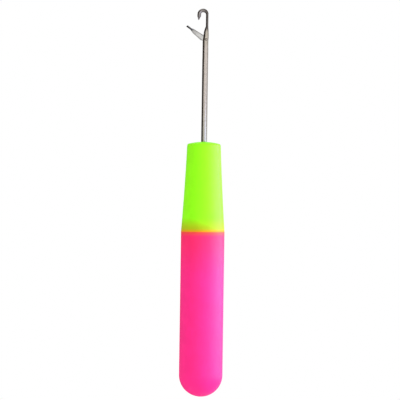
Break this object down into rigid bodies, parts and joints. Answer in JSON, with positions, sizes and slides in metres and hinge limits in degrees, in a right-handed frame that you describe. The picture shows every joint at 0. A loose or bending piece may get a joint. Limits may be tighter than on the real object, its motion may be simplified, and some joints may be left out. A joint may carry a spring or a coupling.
{
  "type": "latch hook tool",
  "caption": "Latch hook hand tool: slender steel needle with a hook and a hinged latch, in a round tapered handle of lime green and hot pink plastic.",
  "frame": {"origin": "on the tool's axis, in the middle of the handle's straight barrel", "axes": "+Z along the tool's axis from the butt to the hook, -X the way the hook's mouth and the open latch face, Y across the latch and along its rivet"},
  "size_m": [0.0185, 0.0184, 0.165],
  "materials": {
    "needle_steel": "drawn and tumbled nickel-plated steel",
    "latch_steel": "stamped and tumbled steel",
    "green_plastic": "satin moulded lime green plastic",
    "pink_plastic": "satin moulded hot pink plastic"
  },
  "bodies": {
    "tool": {"hook_needle": "needle_steel", "latch_rivet": "needle_steel", "front_grip": "green_plastic", "rear_grip": "pink_plastic"},
    "latch": {"latch": "latch_steel"}
  },
  "joints": [
    {"name": "latch_pivot", "type": "hinge", "parent": "tool", "child": "latch", "pos_m": [0.0003, 0, 0.1122], "axis": [0, 1, 0], "range_deg": [-108, 33]}
  ]
}
